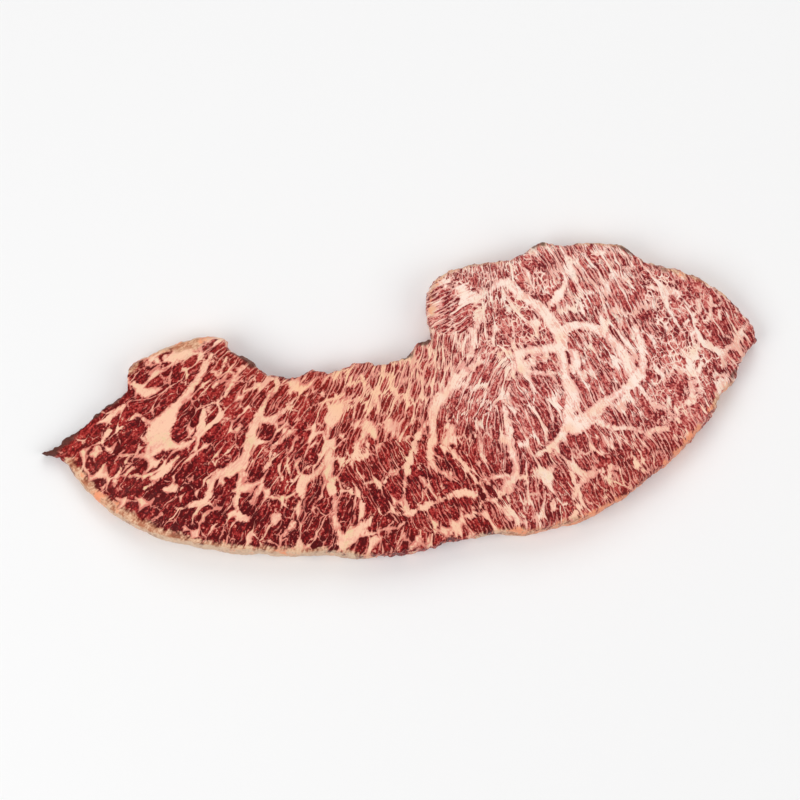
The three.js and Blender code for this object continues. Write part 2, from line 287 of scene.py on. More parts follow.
LEAN_SCRAPS = (
    ((66.8, -2.5, 1), (67.5, -4.5, 1.2), (68.6, -6.6, 1.4)),
    ((74, -8.3, 1.2), (75, -8.6, 1.2)),
    ((71, -2.5, 1.4), (72, -4.5, 1.2)),
    ((13.8, 3.3, 1.6), (13, 0.8, 2.4)),
    ((17.8, 7.3, 1.6), (17.2, 4.6, 2)),
    ((22.5, 12.3, 1.2), (21.7, 10, 1.6)),
    ((-112.5, -20.8, 0.5), (-109, -21.7, 0.5), (-107, -21.2, 0.5), (-103, -21.6, 0.5)),
    ((85.8, 10.5, 1.8), (86.4, 7, 2.4)),
    ((-24.3, -58.6, 1.2), (-27, -58.8, 1)),
    ((-12, -51.3, 1), (-8.5, -50.8, 1.2), (-5, -50, 1)),
)
RIND_SEAMS = (
    ((-128, -24, 3), (-124, -31, 5), (-118, -38, 5), (-110, -44, 5), (-101, -49, 5), (-92, -53.4, 4.4)),
    ((-92, -53.4, 4.4), (-82, -56.6, 4.2), (-72, -58.6, 4.2), (-60, -60, 4.4), (-48, -60.6, 4.2)),
    ((-48, -60.6, 4.2), (-38, -60.8, 4.4), (-30, -61, 3.8), (-22, -61, 3.2), (-10, -62, 0.6)),
    ((30, -54, 0.6), (43, -53, 4), (50, -52.8, 3), (57, -51.3, 1.8), (64, -49.6, 2.4), (70, -47.9, 2.8)),
    ((70, -47.9, 2.6), (76, -45.3, 2.6), (82, -42.4, 2.8), (88, -38.8, 3), (94, -34.2, 2.8)),
    ((94, -34.2, 2.8), (99, -30.2, 2.6), (104, -25.6, 1.8), (108, -20.8, 2)),
    ((108, -20.8, 2), (112, -15.8, 2), (116, -11.6, 1.8)),
    ((120, -5, 2), (125, 1, 2.2), (129, 6, 2)),
    ((-105, 11, 2), (-99, 16.5, 1.8), (-93, 19.5, 3), (-86, 20, 5.4), (-81, 21.5, 6.4), (-76, 24, 3)),
    ((12, 33, 1), (12, 42, 1), (16, 48, 1), (24, 52, 1.2), (34, 54, 1.2), (44, 56, 1.2)),
    ((50, 59, 1), (58, 62, 1.8), (70, 62.4, 2), (80, 61.6, 2.4), (88, 60.5, 1.8)),
    ((95, 55, 1.2), (105, 51, 1.2), (115, 47.5, 2), (122, 45, 2), (128, 41, 1.4)),
)
# Dark brown patches along parts of the edge, drawn along their middles: x, y and width at each point, in
# millimetres.
DARK_EDGES = (
    ((-141, -21, 5), (-134, -18, 5), (-128, -13.5, 4), (-121, -8, 2.6), (-115, -3, 2), (-109, 1, 1.6)),
    ((-66, 18, 1.4), (-60, 15.5, 2.4), (-56, 12, 2.2)),
    ((-45, 8, 0.8), (-42, 7.8, 0.8)),
    ((2, 16, 2), (5, 18, 2), (8, 21.5, 2), (11, 22.5, 1.6)),
    ((53, 60, 2), (56, 61.5, 2)),
    ((84, 61, 1), (88, 59, 1.4), (91, 56.5, 1)),
    ((100, 51.8, 0.8), (104, 50.6, 0.8)),
    ((129, 9, 1.2), (130, 10.5, 1)),
)
GRAINY_FLESH = (
    ((15, 50, 10), (24, 46, 16), (36, 42, 22), (48, 48, 20), (57, 42, 10)),
    ((36, 42, 22), (38, 27, 22), (47, 27, 24), (52, 14, 14)),
    ((98, 46, 12), (112, 32, 28), (112, 14, 30), (104, -3, 20)),
)
REGIONS = (
    Region(-132, -20, 0.06, 0.3, 0.0),
    Region(-118, -28, 0.15, 0.2, -0.2),
    Region(-105, -38, 0.10, 0.2, -0.25),
    Region(-108, -9, 0.18, 0.15, -0.1),
    Region(-93, 9, 0.34, 0.15, 0.1),
    Region(-84, -12, 0.22, 0.1, 0.05),
    Region(-94, -30, 0.04, 0.1, -0.25),
    Region(-82, -45, 0.19, 0.1, -0.2),
    Region(-73, 24, 0.98, 0.5, 0.42),
    Region(-71, 9, 0.10, 0.25, -0.05),
    Region(-65, -9, 0.25, 0.1, 0.1),
    Region(-71, -22, 0.20, 0.1, -0.15),
    Region(-56, 5, 0.38, 0.35, 0.05),
    Region(-50, -24, 0.26, 0.1, 0.05),
    Region(-55, -51, 0.19, 0.1, -0.25),
    Region(-38, -9, 0.20, 0.1, -0.05),
    Region(-39, -22, 0.38, 0.1, 0.08),
    Region(-34, -50, 0.28, 0.1, -0.25),
    Region(-38, 5, 0.08, 0.5, -0.12),
    Region(-24, 8, 0.72, 0.6, 0.25),
    Region(-12, 6, 0.66, 0.6, 0.25),
    Region(0, 6, 0.64, 0.55, 0.25),
    Region(12, 15, 0.66, 0.5, 0.32),
    Region(-16, -29, 0.26, 0.2, 0.05),
    Region(-3, -10, 0.35, 0.35, 0.12),
    Region(-8, -40, 0.08, 0.1, -0.2),
    Region(5, -53, 0.28, 0.2, 0.05),
    Region(25, -52, 0.04, 0.15, -0.1),
    Region(12, -33, 0.08, 0.0, -0.05),
    Region(24, -5, 0.52, 0.25, 0.38),
    Region(22, -21, 0.06, 0.1, -0.05),
    Region(27, -34, 0.30, 0.1, 0.22),
    Region(36, -15, 0.38, 0.15, 0.42),
    Region(35, 5, 0.42, 0.15, 0.4),
    Region(20, 33, 0.42, 0.25, 0.42),
    Region(20, 46, 0.64, 0.3, 0.6),
    Region(35, 46, 0.43, 0.2, 0.5),
    Region(40, 25, 0.45, 0.2, 0.46),
    Region(50, -10, 0.32, 0.15, 0.42),
    Region(54, -24, 0.22, 0.1, 0.25),
    Region(47, -41, 0.43, 0.3, 0.31),
    Region(53, 50, 0.50, 0.25, 0.6),
    Region(54, 28, 0.43, 0.35, 0.52),
    Region(45, 15, 0.40, 0.6, 0.5),
    Region(56, 8, 0.54, 0.25, 0.56),
    Region(70, -21, 0.38, 0.1, 0.34),
    Region(61, -38, 0.37, 0.2, 0.28),
    Region(76, -40, 0.27, 0.1, 0.19),
    Region(73, 10, 0.43, 0.2, 0.52),
    Region(80, 43, 0.50, 0.2, 0.62),
    Region(74, 57, 0.72, 0.3, 0.7),
    Region(95, 42, 0.53, 0.2, 0.58),
    Region(92, -5, 0.43, 0.15, 0.48),
    Region(90, -22, 0.31, 0.1, 0.25),
    Region(86, 24, 0.36, 0.2, 0.5),
    Region(103, 22, 0.70, 0.2, 0.66),
    Region(110, 36, 0.37, 0.15, 0.5),
    Region(110, 3, 0.39, 0.3, 0.48),
    Region(129, 28, 0.10, 0.15, 0.22),
    Region(128, 38, 0.55, 0.2, 0.55),
    Region(130, 12, 0.45, 0.2, 0.5),
    Region(105, -16, 0.20, 0.5, 0.3),
    Region(98, -29, 0.18, 0.8, 0.3),
    Region(84, -39, 0.18, 0.8, 0.24),
)
FAN_CENTRE = (31.0, 110.0)
FAN_RADIUS = 125.0
GRAIN_PATCHES = (
    GrainPatch(125, 15, 87, 85, 0, 118),
    GrainPatch(14, -36, 36, 17, -14, 118),
    GrainPatch(31, 6, 15, 11, 60, 66),
    GrainPatch(20, 36, 12, 11, 0, 30),
)


class SeamMap:
    """How deep places on the slice lie inside a set of seams."""

    def __init__(self, *groups: tuple[Seam, ...]) -> None:
        """Takes the groups of seams that the map covers."""
        self.seams = [seam for group in groups for seam in group]

    def depth(self, places: np.ndarray, least: float = -6.0) -> np.ndarray:
        """Works out the depth of each place.

        Args:
            places: x and y of each place, in millimetres, one row each.
            least: the depth given to places far outside every seam.

        Returns:
            Millimetres inside the nearest seam's edge, below zero outside it.
        """
        deepest = np.full(len(places), least)
        for seam in self.seams:
            for start, end in zip(seam, seam[1:]):
                here, there = np.array(start), np.array(end)
                step = there[:2] - here[:2]
                share = np.clip((places - here[:2]) @ step / (step @ step), 0, 1)
                away = np.linalg.norm(places - here[:2] - share[:, None] * step, axis=1)
                half_width = (here[2] + share * (there[2] - here[2])) / 2
                np.maximum(deepest, half_width - away, out=deepest)
        return deepest


def regional(
    places: np.ndarray,
    quality: str,
    reach: float = 9.0,
    far_reach: float = 40.0,
    far_share: float = 1e-4,
) -> np.ndarray:
    """Blends one quality of the regions over the slice.

    Args:
        places: x and y of each place, in millimetres, one row each.
        quality: the name of the quality in Region.
        reach: how far a region's own value carries, in millimetres.
        far_reach: how far it carries where no region is near.
        far_share: how little it counts there.

    Returns:
        The quality at each place.
    """
    total = np.zeros(len(places))
    weights = np.zeros(len(places))
    for region in REGIONS:
        away = np.hypot(places[:, 0] - region.x, places[:, 1] - region.y)
        weight = np.exp(-0.5 * (away / reach) ** 2) + far_share * np.exp(-away / far_reach)
        total += weight * getattr(region, quality)
        weights += weight
    return total / weights


def smooth_step(values: np.ndarray, span: Span) -> np.ndarray:
    """Returns 0 below a span, 1 above it and a soft rise inside it."""
    share = np.clip((values - span[0]) / (span[1] - span[0]), 0, 1)
    return share * share * (3 - 2 * share)


def read_rows(mesh: bpy.types.Mesh, quality: str) -> np.ndarray:
    """Reads one vector of each of a mesh's points.

    Args:
        mesh: the mesh to read.
        quality: the vector's name in Blender, such as co or normal.

    Returns:
        The vectors, one row each.
    """
    flat = np.empty(len(mesh.vertices) * 3, dtype=np.float32)
    mesh.vertices.foreach_get(quality, flat)
    return flat.reshape(-1, 3).astype(float)


@dataclass(frozen=True)
class Ripples:
    """Smooth noise in space.

    Args:
        height: the height of its highest crests.
        size: the distance from crest to crest, in millimetres.
        seed: a shift that gives another draw.
    """

    height: float
    size: float
    seed: float

    def at(self, points: np.ndarray) -> np.ndarray:
        """Returns the height at each place, from x, y and z in millimetres, one row each."""
        shift = Vector([part * self.seed for part in SEED_WAY])
        return self.height * np.array([noise.noise(Vector(point) / self.size + shift) for point in points])


Number = Union[float, "Signal"]


class Signal:
    """A shader value that takes part in sums: each operator adds the Math node that works it out."""

    def __init__(self, graph: "Graph", socket: Socket) -> None:
        """Wraps a socket of the graph."""
        self.graph = graph
        self.socket = socket

    def __add__(self, other: Number) -> "Signal":
        """Returns the sum."""
        return self.graph.maths("ADD", self, other)

    def __sub__(self, other: Number) -> "Signal":
        """Returns the difference."""
        return self.graph.maths("SUBTRACT", self, other)

    def __rsub__(self, other: Number) -> "Signal":
        """Returns the difference from a number."""
        return self.graph.maths("SUBTRACT", other, self)

    def __mul__(self, other: Number) -> "Signal":
        """Returns the product."""
        return self.graph.maths("MULTIPLY", self, other)

    def __or__(self, other: Number) -> "Signal":
        """Returns the larger of the two."""
        return self.graph.maths("MAXIMUM", self, other)

    def __and__(self, other: Number) -> "Signal":
        """Returns the smaller of the two."""
        return self.graph.maths("MINIMUM", self, other)

    __radd__ = __add__
    __rmul__ = __mul__
    __ror__ = __or__
    __rand__ = __and__

    def rise(self, span: Span) -> "Signal":
        """Adds a soft rise.

        Args:
            span: the values between which it rises.

        Returns:
            0 below the span, 1 above it and a smooth curve inside it.
        """
        node = self.graph.node(
            "ShaderNodeMapRange",
            {"interpolation_type": "SMOOTHSTEP"},
            {"Value": self, "From Min": span[0], "From Max": span[1]},
        )
        return Signal(self.graph, node.outputs["Result"])


@dataclass(frozen=True)
class Cloud:
    """Soft noise for a shader.

    Args:
        size: the size of its blots along each axis, in millimetres.
        detail: how many finer layers lie on it.
    """

    size: Triple
    detail: float


@dataclass(frozen=True)
class Cells:
    """Uneven cells that fill the plane, as seen from one place.

    Args:
        edge: how far the cell's border is, in cells.
        centre: how far the cell's middle is, in cells.
        tone: a number about zero drawn for the cell.
    """

    edge: Signal
    centre: Signal
    tone: Signal


class Graph:
    """The node tree of one material."""

    def __init__(self, name: str) -> None:
        """Makes a material and clears its nodes.

        Args:
            name: what the material is called.
        """
        self.material = bpy.data.materials.new(name)
        self.material.use_nodes = True
        self.tree = self.material.node_tree
        self.tree.nodes.clear()

    def node(self, kind: str, settings: dict[str, object], values: dict) -> bpy.types.Node:
        """Adds a node.

        Args:
            kind: the node's type.
            settings: its own properties, set before its sockets.
            values: a number, a vector, a colour, a Signal or a socket for each input, by name or place.

        Returns:
            The new node.
        """
        made = self.tree.nodes.new(kind)
        for name, setting in settings.items():
            setattr(made, name, setting)
        for key, value in values.items():
            self._feed(made.inputs[key], value)
        return made

    def _feed(self, target: Socket, value: object) -> None:
        """Links or sets one input.

        Args:
            target: the input.
            value: a Signal or a socket to link, or a plain value to set.
        """
        if isinstance(value, Signal):
            value = value.socket
        if isinstance(value, bpy.types.NodeSocket):
            self.tree.links.new(value, target)
        else:
            target.default_value = value

    def maths(self, operation: str, *values: Number) -> Signal:
        """Adds a Math node and returns its result."""
        made = self.node("ShaderNodeMath", {"operation": operation}, dict(enumerate(values)))
        return Signal(self, made.outputs["Value"])

    def attribute(self, mark: Mark) -> Signal:
        """Returns the value that the mesh holds under this mark."""
        made = self.node("ShaderNodeAttribute", {"attribute_name": mark.value}, {})
        return Signal(self, made.outputs["Fac"])

    def parts(self, vector: Socket) -> list[Signal]:
        """Returns the three parts of a vector."""
        made = self.node("ShaderNodeSeparateXYZ", {}, {"Vector": vector})
        return [Signal(self, made.outputs[axis]) for axis in "XYZ"]

    def vector(self, x: Number, y: Number, z: Number) -> Socket:
        """Returns the vector of three values."""
        return self.node("ShaderNodeCombineXYZ", {}, {"X": x, "Y": y, "Z": z}).outputs["Vector"]

    def scaled(self, vector: Socket, sizes: Triple) -> Socket:
        """Returns a vector divided by a size for each axis."""
        made = self.node("ShaderNodeVectorMath", {"operation": "DIVIDE"}, {0: vector, 1: sizes})
        return made.outputs["Vector"]

    def shifted(self, vector: Socket, shift: Triple) -> Socket:
        """Returns a vector plus a fixed one."""
        made = self.node("ShaderNodeVectorMath", {"operation": "ADD"}, {0: vector, 1: shift})
        return made.outputs["Vector"]

    def noise(self, vector: Socket, cloud: Cloud) -> bpy.types.Node:
        """Adds the noise texture of a cloud."""
        values = {"Vector": self.scaled(vector, cloud.size), "Scale": 1.0, "Detail": cloud.detail}
        return self.node("ShaderNodeTexNoise", {}, values)

    def draw(self, vector: Socket, cloud: Cloud) -> Signal:
        """Returns a cloud's own value about zero."""
        return Signal(self, self.noise(vector, cloud).outputs[0]) - 0.5

    def cells(self, vector: Socket, unevenness: float) -> Cells:
        """Fills the plane with cells of unit size.

        Args:
            vector: the place to look at.
            unevenness: 0 for squares in rows, 1 for cells that lie anyhow.

        Returns:
            What the shader can tell about the cell around the place.
        """
        flat = {"voronoi_dimensions": "2D"}
        values = {"Vector": vector, "Scale": 1.0, "Randomness": unevenness}
        border = self.node("ShaderNodeTexVoronoi", {**flat, "feature": "DISTANCE_TO_EDGE"}, values)
        middle = self.node("ShaderNodeTexVoronoi", flat, values)
        return Cells(
            edge=Signal(self, border.outputs["Distance"]),
            centre=Signal(self, middle.outputs["Distance"]),
            tone=self.parts(middle.outputs["Color"])[0] - 0.5,
        )

    def blend(self, share: Number, first: Paint, second: Paint) -> Socket:
        """Returns a colour between two, at a share from 0 to 1."""
        made = self.node("ShaderNodeMix", {"data_type": "RGBA"}, {0: share, 6: first, 7: second})
        return made.outputs[2]


def colour(red: int, green: int, blue: int) -> Colour:
    """Turns a screen colour into Blender's linear light.

    Args:
        red: from 0 to 255.
        green: from 0 to 255.
        blue: from 0 to 255.

    Returns:
        The colour's three channels from 0 to 1, and full cover.
    """

    def linear(value: int) -> float:
        """Returns one channel in linear light."""
        share = value / 255
        return share / 12.92 if share <= 0.04045 else ((share + 0.055) / 1.055) ** 2.4

    return (linear(red), linear(green), linear(blue), 1.0)


@dataclass(frozen=True)
class Weights:
    """How much each quality of the flesh counts in a sum, which starts from a base.

    The qualities are told in Flesh.
    """

    base: float = 0.0
    height: float = 0.0
    tail: float = 0.0
    front: float = 0.0
    fat: float = 0.0
    warmth: float = 0.0
    pallor: float = 0.0
    grainy: float = 0.0
    drift: float = 0.0
    sway: float = 0.0
    swing: float = 0.0
    patchy: float = 0.0
    lobes: float = 0.0
    fleck: float = 0.0
    streak: float = 0.0
    dash: float = 0.0
    grit: float = 0.0
    fray: float = 0.0


@dataclass(frozen=True)
class Mask:
    """A share from 0 to 1, which rises as a sum of the flesh's qualities passes through a span."""

    span: Span
    weights: Weights


@dataclass(frozen=True)
class Flesh:
    """What the shader knows of the flesh at one place.

    Args:
        graph: the material's nodes.
        place: x, y and z in millimetres.
        across, along: millimetres across the fibres and along them.
        height: millimetres over the resting plane.
        tail, front: 1 in the tail, and at the front of the eye, and 0 in the rest.
        fat, warmth, pallor, grainy: the marks of those names on the mesh.
        drift, sway, swing: three slow changes about zero.
        patchy, lobes, grit: patches, lobes of the bundles and fine grit, about zero.
        fleck, streak, dash: flecks, fine streaks and dashes along the fibres, about zero.
        fray: how far the streaks pull a cell along the fibres, in millimetres.
    """

    graph: Graph
    place: Socket
    across: Signal
    along: Signal
    height: Signal
    tail: Signal
    front: Signal
    fat: Signal
    warmth: Signal
    pallor: Signal
    grainy: Signal
    drift: Signal
    sway: Signal
    swing: Signal
    patchy: Signal
    lobes: Signal
    fleck: Signal
    streak: Signal
    dash: Signal
    grit: Signal
    fray: Signal

    def sum(self, weights: Weights) -> Number:
        """Adds up the qualities.

        Args:
            weights: how much each one counts.

        Returns:
            The sum.
        """
        total = weights.base
        for name, weight in vars(weights).items():
            if weight and name != "base":
                total = total + getattr(self, name) * weight
        return total

    def mask(self, mask: Mask, start: Number = 0.0) -> Signal:
        """Returns a mask's share, with its sum counted from a start."""
        return (start + self.sum(mask.weights)).rise(mask.span)


@dataclass(frozen=True)
class Net:
    """A net of fat and its cells of lean, as seen from one place.

    Args:
        depth: how deep the place is inside the fat, in cells.
        share: how much of it is fat.
        thickness: how thick the fat is.
        tone: a number about zero drawn for the cell.
        tint: how much lighter the cell's lean is.
    """

    depth: Signal
    share: Signal
    thickness: Signal
    tone: Signal
    tint: Signal


@dataclass(frozen=True)
class Netting:
    """Fat that nets round cells of lean, with depths in cells, above zero inside the fat.

    Args:
        size: the cells' size across the fibres, along them and through the slice, in millimetres.
        unevenness: 0 for cells in rows, 1 for cells that lie anyhow.
        gap: what widens the fat between the cells.
        tint: how much a cell's own tone lightens its lean.
        edge: the depths between which lean turns to fat.
        core: the depths between which thin fat turns to thick.
        push_across: how far a place is moved across the fibres, in millimetres.
        push_along: how far it is moved along them.
        shift: how far the whole pattern is moved, in millimetres.
        corner: what widens the fat where cells meet, where they have such corners.
        corner_slope: how fast a corner's fat deepens.
    """

    size: Triple
    unevenness: float
    gap: Weights
    tint: Weights
    edge: Span
    core: Span
    push_across: Weights = Weights(lobes=1.5)
    push_along: Weights = Weights(height=0.7, patchy=3.0, fray=1.0)
    shift: Triple = (0.0, 0.0, 0.0)
    corner: Union[Weights, None] = None
    corner_slope: float = 0.8

    def cast(self, flesh: Flesh) -> Net:
        """Works out the net at one place.

        Args:
            flesh: what is known of the place.

        Returns:
            The net there.
        """
        graph = flesh.graph
        across = flesh.across + flesh.sum(self.push_across)
        along = flesh.along + flesh.sum(self.push_along)
        place = graph.shifted(graph.vector(across, along, 0.0), self.shift)
        cells = graph.cells(graph.scaled(place, self.size), self.unevenness)
        depth = flesh.sum(self.gap) - cells.edge
        if self.corner is not None:
            depth = depth | (cells.centre + flesh.sum(self.corner)) * self.corner_slope
        tint = cells.tone * flesh.sum(self.tint)
        return Net(depth, depth.rise(self.edge), depth.rise(self.core), cells.tone, tint)


@dataclass(frozen=True)
class LeanTones:
    """The colours of lean, from its deepest strands to its lightest."""

    deep: Colour
    dark: Colour
    red: Colour
    dark_span: Span = (0.0, 0.5)
    red_span: Span = (0.4, 1.0)

    def at(self, shade: Signal) -> Socket:
        """Returns the colour of a shade from 0 to 1."""
        darker = shade.graph.blend(shade.rise(self.dark_span), self.deep, self.dark)
        return shade.graph.blend(shade.rise(self.red_span), darker, self.red)


@dataclass(frozen=True)
class Marbling:
    """How fat and lean lie at one place.

    Args:
        fatness: how much of it is fat.
        richness: how thick that fat is.
        shade: how light its lean would be.
    """

    fatness: Signal
    richness: Signal
    shade: Signal


@dataclass(frozen=True)
class BeefFinish:
    """Raw beef: lean in bundles and strands, the fat round them, the rind and dark brown patches along the
    edge.

    Clouds have their sizes across the fibres, along them and through the slice, apart from the drifts,
    the patches, the grit and the moisture, which lie anyhow.
    """

    # The draws that the rest is mixed from.
    drifts: Cloud = Cloud((9.0, 9.0, 9.0), 1.0)
    patches: Cloud = Cloud((7.0, 7.0, 7.0), 1.0)
    lobes: Cloud = Cloud((2.4, 4.6, 5.0), 2.0)
    flecks: Cloud = Cloud((0.75, 1.7, 1.2), 2.0)
    streaks: Cloud = Cloud((0.5, 6.5, 3.0), 1.0)
    dashes: Cloud = Cloud((1.3, 5.5, 4.0), 1.0)
    grit: Cloud = Cloud((0.7, 0.7, 0.7), 2.0)
    moisture: Cloud = Cloud((2.5, 2.5, 2.5), 2.0)

    sideways_drift: float = 3.0
    lengthwise_drift: float = 5.0
    tail_from: Span = (52.0, 90.0)
    eye_from: Span = (34.0, 46.0)
    front_from: Span = (-10.0, 10.0)
    streak_pull: float = 1.0
    pale_pull: float = 12.0
    warm_pull: float = 5.0
    grainy_calm: float = 10.0

    # The nets, the seams and the strands of fat.
    bundles: Netting = Netting(
        size=(4.4, 14.0, 1.0),
        unevenness=0.7,
        gap=Weights(base=-0.016, fat=0.17, patchy=0.20, lobes=0.14, grainy=-0.05, fleck=-0.12),
        corner=Weights(base=-0.70, patchy=0.3, fat=0.2),
        tint=Weights(base=0.25),
        edge=(-0.03, 0.03),
        core=(-0.03, 0.10),
    )
    kernels: Netting = Netting(
        size=(2.5, 7.5, 1.0),
        unevenness=0.75,
        shift=(31.0, 17.0, 5.0),
        gap=Weights(base=-0.058, fat=0.24, patchy=0.18, lobes=0.26, grainy=-0.04, fleck=-0.15, streak=-0.08),
        corner=Weights(base=-0.72, patchy=0.3, fat=0.2),
        tint=Weights(base=0.30),
        edge=(-0.05, 0.04),
        core=(0.0, 0.14),
    )
    grains: Netting = Netting(
        size=(1.9, 2.5, 1.0),
        unevenness=0.9,
        push_across=Weights(lobes=2.0),
        push_along=Weights(base=2.0, fleck=1.5, swing=4.0),
        gap=Weights(base=-0.26, fat=0.30, patchy=0.35, lobes=0.45, grainy=0.2, grit=-0.2),
        tint=Weights(grainy=0.5),
        edge=(-0.05, 0.05),
        core=(0.0, 0.14),
    )
    bundle_share: Weights = Weights(base=1.0, pallor=-0.25)
    kernel_share: Weights = Weights(base=0.95, pallor=-0.5)
    seam_wander: Weights = Weights(base=0.12, lobes=2.2, fleck=1.6)
    seam_pull: float = 0.9
    seam_edge: Span = (-0.3, 0.35)
    seam_core: Span = (-0.4, 1.4)
    strand: float = 1.45
    strand_wander: Weights = Weights(lobes=1.1)
    strand_gap: Weights = Weights(base=0.01, dash=0.9, fat=0.12, warmth=0.08)
    strand_edge: Span = (-0.07, 0.08)
    strand_share: Weights = Weights(base=0.6, pallor=0.2, warmth=0.3, grainy=-0.55, tail=-0.35)
    strand_middle: float = 0.25
    strand_tint: float = 0.7
    specks: Mask = Mask((0.09, 0.26), Weights(fleck=1.0, lobes=0.4, grit=0.5, grainy=0.05, tail=-0.04))
    speck_share: float = 0.65

    # The lean.
    lean_shade: Weights = Weights(base=0.53, fleck=2.6, swing=0.9, lobes=1.1, grit=2.2)
    streak_shade: Weights = Weights(base=0.8, grainy=-0.7)
    beside_seam: Span = (-1.0, 0.0)
    beside_net: Span = (-0.12, 0.0)
    beside_shade: float = 0.25
    band_lean: LeanTones = LeanTones(colour(74, 1, 9), colour(128, 17, 22), colour(184, 58, 54))
    eye_lean: LeanTones = LeanTones(colour(108, 24, 30), colour(172, 64, 62), colour(216, 120, 110))
    orange_lean: Colour = colour(164, 52, 30)
    orange_share: Weights = Weights(base=0.6, patchy=1.0)
    in_eye: Mask = Mask((0.1, 0.5), Weights(pallor=1.0, patchy=0.3))

    # The fat.
    pink: Colour = colour(222, 132, 116)
    pale_pink: Colour = colour(240, 174, 160)
    pale_from: Span = (0.1, 0.5)
    cream: Colour = colour(250, 200, 170)
    pale_cream: Colour = colour(255, 234, 220)
    pale: Mask = Mask((0.1, 0.55), Weights(pallor=1.0, patchy=0.8))
    orange_fat: Colour = colour(250, 196, 148)
    orange: Mask = Mask((0.15, 0.9), Weights(warmth=1.0, patchy=0.8))
    straw_fat: Colour = colour(234, 204, 160)
    straw: Mask = Mask((0.0, 0.35), Weights(drift=1.0, patchy=0.6, fleck=0.6, grit=0.6))
    straw_share: Weights = Weights(base=0.8, pallor=-1.2)
    rosy_fat: Colour = colour(238, 168, 148)
    rosy: Mask = Mask((0.0, 0.35), Weights(sway=1.0, lobes=1.0, streak=1.0, grit=0.8))
    rosy_share: float = 0.8
    creamy: Mask = Mask((0.05, 0.78), Weights(base=-0.05, swing=1.1, lobes=0.8, fleck=0.9, grit=0.6))
    creamy_core: float = 0.9
    fatty: Mask = Mask((0.1, 0.9), Weights(fleck=0.8, grit=0.7))

    # The rind and the dark brown patches along the edge.
    rind: Colour = colour(236, 194, 160)
    rind_shade: Colour = colour(186, 116, 84)
    warm_rind: Colour = colour(246, 158, 118)
    # Grey-white laid over the rind where the skin faces sideways.
    side_grey: Colour = colour(224, 196, 168)
    dark_edge_brown: Colour = colour(84, 52, 44)
    on_rind: Mask = Mask((-1.0, 1.3), Weights(lobes=5.0, fleck=3.0, streak=2.0))
    clean: Mask = Mask(
        (0.0, 1.0), Weights(base=0.48, streak=1.0, fleck=1.8, lobes=1.8, grit=1.2, patchy=1.4)
    )
    side_grey_share: Weights = Weights(base=0.75, warmth=-0.9, front=-0.6)
    salmon: Mask = Mask((0.3, 0.75), Weights(warmth=1.0, fleck=1.0, front=0.3, patchy=2.0))
    dry: Mask = Mask((-0.7, 1.0), Weights(lobes=5.0, patchy=5.0, fleck=2.0))
    dark_edge_share: float = 0.85

    # The surface.
    roughness: float = 0.38
    fat_roughness: float = 0.12
    moist_roughness: float = 0.25
    dark_edge_roughness: float = 0.2
    relief: Weights = Weights(fleck=0.9, streak=0.4)
    fat_relief: float = 0.5
    relief_height: float = 0.25
    relief_strength: float = 0.6
    refraction: float = 1.4
    shine: float = 0.16

    def build(self) -> bpy.types.Material:
        """Makes the material.

        Returns:
            The finished material.
        """
        graph = Graph("raw_beef")
        flesh = self._flesh(graph)
        marbling = self._marbling(flesh)
        share = flesh.mask(self.fatty, marbling.fatness)
        inner = graph.blend(share, self._lean(flesh, marbling), self._fat(flesh, marbling))
        on_rind = flesh.mask(self.on_rind, graph.attribute(Mark.RIND))
        dry = flesh.mask(self.dry, graph.attribute(Mark.DRYNESS))
        skin = graph.blend(on_rind, inner, self._rind(flesh))
        skin = graph.blend(dry * self.dark_edge_share, skin, self.dark_edge_brown)
        self._surface(flesh, marbling, skin, dry)
        return graph.material

    def _flesh(self, graph: Graph) -> Flesh:
        """Reads the mesh's marks and draws what varies between them.

        Args:
            graph: the material's nodes.

        Returns:
            What the shader knows of the flesh.
        """
        spot = graph.node("ShaderNodeTexCoord", {}, {}).outputs["Object"]
        place = graph.scaled(spot, (MM, MM, MM))
        length, breadth, height = graph.parts(place)
        grain = graph.node("ShaderNodeUVMap", {"uv_map": Mark.GRAIN.value}, {}).outputs["UV"]
        across, along, _ = graph.parts(graph.scaled(grain, (1 / MAP_UNIT, 1 / MAP_UNIT, 1.0)))
        drifts = graph.noise(place, self.drifts).outputs["Color"]
        drift, sway, swing = (part - 0.5 for part in graph.parts(drifts))
        across = across + drift * self.sideways_drift
        along = along + sway * self.lengthwise_drift
        fibre = graph.vector(across, along, height)
        streak = graph.draw(fibre, self.streaks)
        grainy = graph.attribute(Mark.GRAINY)
        warmth = graph.attribute(Mark.WARMTH)
        pallor = graph.attribute(Mark.PALLOR)
        pull = self.streak_pull + pallor * (self.pale_pull - grainy * self.grainy_calm)
        return Flesh(
            graph=graph,
            place=place,
            across=across,
            along=along,
            height=height,
            tail=(length * -1.0).rise(self.tail_from),
            front=length.rise(self.eye_from) & (breadth * -1.0).rise(self.front_from),
            fat=graph.attribute(Mark.FAT),
            warmth=warmth,
            pallor=pallor,
            grainy=grainy,
            drift=drift,
            sway=sway,
            swing=swing,
            patchy=graph.draw(place, self.patches),
            lobes=graph.draw(fibre, self.lobes),
            fleck=graph.draw(fibre, self.flecks),
            streak=streak,
            dash=graph.draw(fibre, self.dashes),
            grit=graph.draw(place, self.grit),
            fray=streak * (pull + warmth * self.warm_pull),
        )

